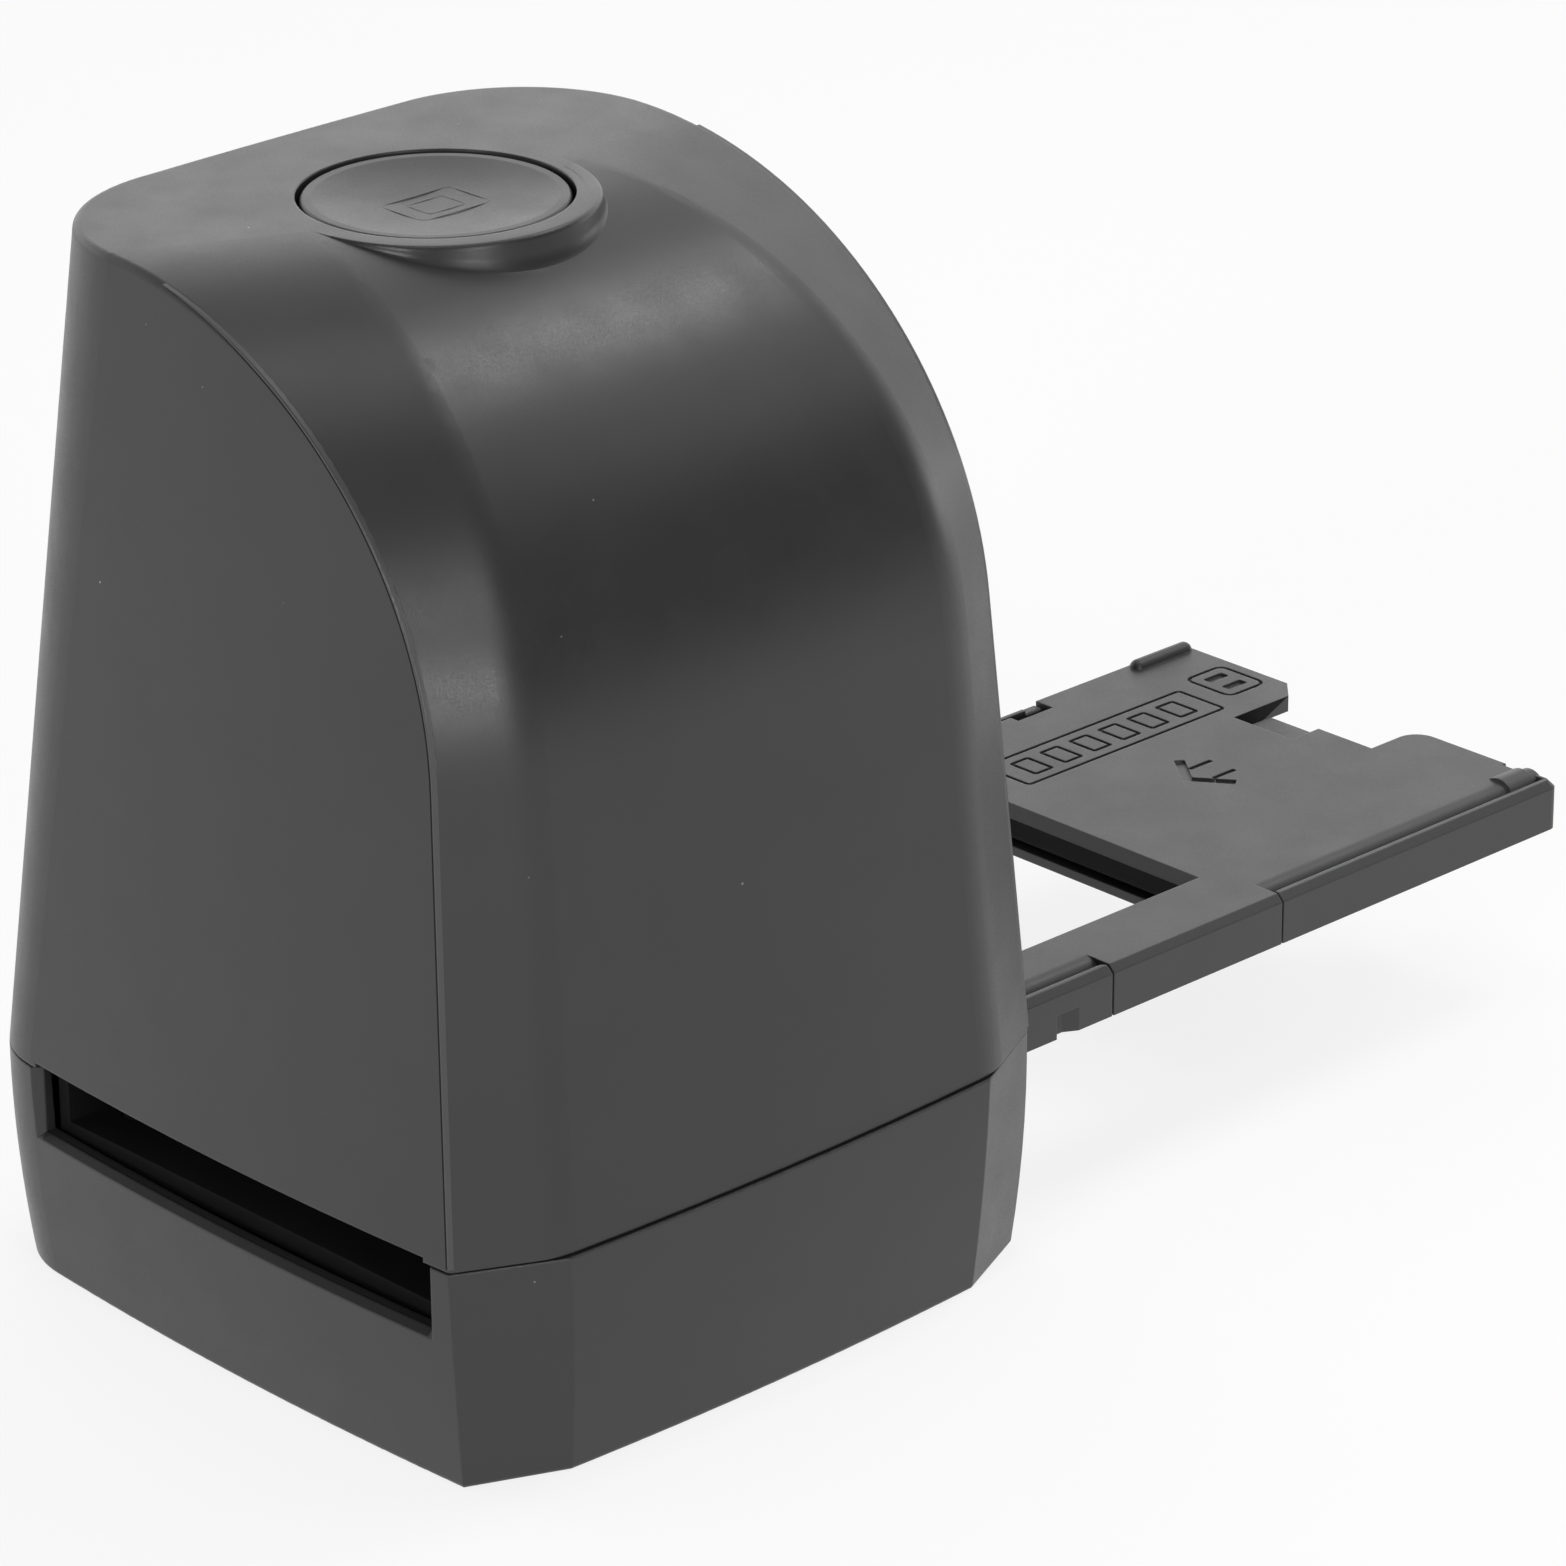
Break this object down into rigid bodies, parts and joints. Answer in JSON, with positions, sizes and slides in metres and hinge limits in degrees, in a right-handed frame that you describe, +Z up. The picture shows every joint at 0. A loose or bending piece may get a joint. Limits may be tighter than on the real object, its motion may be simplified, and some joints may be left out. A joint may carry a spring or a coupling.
{
  "type": "film scanner",
  "caption": "Tall film scanner with a quarter-round front, a round top button and a slide-out film tray with a hinged windowed cover.",
  "frame": {"origin": "centre of the housing's base, on the plane it stands on", "axes": "+Z up; the quarter-round front faces -Y; the film tray slides along X and sticks out towards +X"},
  "size_m": [0.1877, 0.0919, 0.1256],
  "materials": {
    "charcoal_shell": "fine satin moulded texture",
    "charcoal_tray": "fine matte moulded texture",
    "black_inner": "matte black",
    "white_box": "matte white",
    "diffuser": "opal",
    "led_white": "phosphor",
    "board_green": "solder mask",
    "chip_black": "moulded",
    "switch_button": "moulded",
    "steel_screws": "zinc plated",
    "usb_metal": "plated",
    "foot_rubber": "matte",
    "roller_white": "acetal",
    "lens_black": "black anodised",
    "lens_glass": "coated",
    "cable_white": "insulation"
  },
  "bodies": {
    "housing": {"upper_shell": "charcoal_shell", "base_shell": "charcoal_shell", "lower_gate": "black_inner", "upper_gate": "black_inner", "optics_tower": "black_inner", "lens_holder": "black_inner", "light_box": "white_box", "light_diffuser": "diffuser", "backlight_leds": "led_white", "backlight_board": "board_green", "sensor_board": "board_green", "main_board": "board_green", "button_board": "board_green", "main_chips": "chip_black", "image_sensor": "chip_black", "tact_switch": "chip_black", "housing_screws": "steel_screws", "gate_screws": "steel_screws", "tower_screws": "steel_screws", "sensor_screws": "steel_screws", "board_screws": "steel_screws", "roller_pins": "steel_screws", "detent_springs": "steel_screws", "usb_socket": "usb_metal", "rubber_feet": "foot_rubber", "sensor_cable": "cable_white", "light_wires": "cable_white"},
    "tray": {"tray_frame": "charcoal_tray", "hinge_pins": "steel_screws"},
    "cover": {"tray_cover": "charcoal_tray"},
    "button": {"scan_button": "charcoal_shell"},
    "plunger": {"switch_plunger": "switch_button"},
    "lens": {"lens_barrel": "lens_black", "lens_glass": "lens_glass"},
    "roller_near": {"detent_roller_near": "roller_white"},
    "roller_far": {"detent_roller_far": "roller_white"}
  },
  "joints": [
    {"name": "tray_slide", "type": "slide", "parent": "housing", "child": "tray", "axis": [1, 0, 0], "range_m": [-0.0683, 0.025]},
    {"name": "tray_cover_hinge", "type": "hinge", "parent": "tray", "child": "cover", "pos_m": [0.0933, -0.0268, 0.024], "axis": [1, 0, 0], "range_deg": [0, 90]},
    {"name": "button_press", "type": "slide", "parent": "housing", "child": "button", "axis": [0, 0, 1], "range_m": [-0.0004, 0], "stiffness_N_per_m": 3000, "springref_m": 0.0001},
    {"name": "switch_press", "type": "slide", "parent": "housing", "child": "plunger", "axis": [0, 0, 1], "range_m": [-0.0004, 0]},
    {"name": "lens_focus", "type": "hinge", "parent": "housing", "child": "lens", "pos_m": [0, 0, 0.08], "axis": [0, 0, 1], "range_deg": [-45, 45]},
    {"name": "roller_near_spin", "type": "hinge", "parent": "housing", "child": "roller_near", "pos_m": [-0.0118, -0.0335, 0.0207], "axis": [0, 0, 1], "continuous": true},
    {"name": "roller_far_spin", "type": "hinge", "parent": "housing", "child": "roller_far", "pos_m": [-0.0118, 0.0335, 0.0207], "axis": [0, 0, 1], "continuous": true}
  ],
  "couplings": [
    {"joint": "switch_press", "follows": "button_press", "ratio": 1}
  ]
}
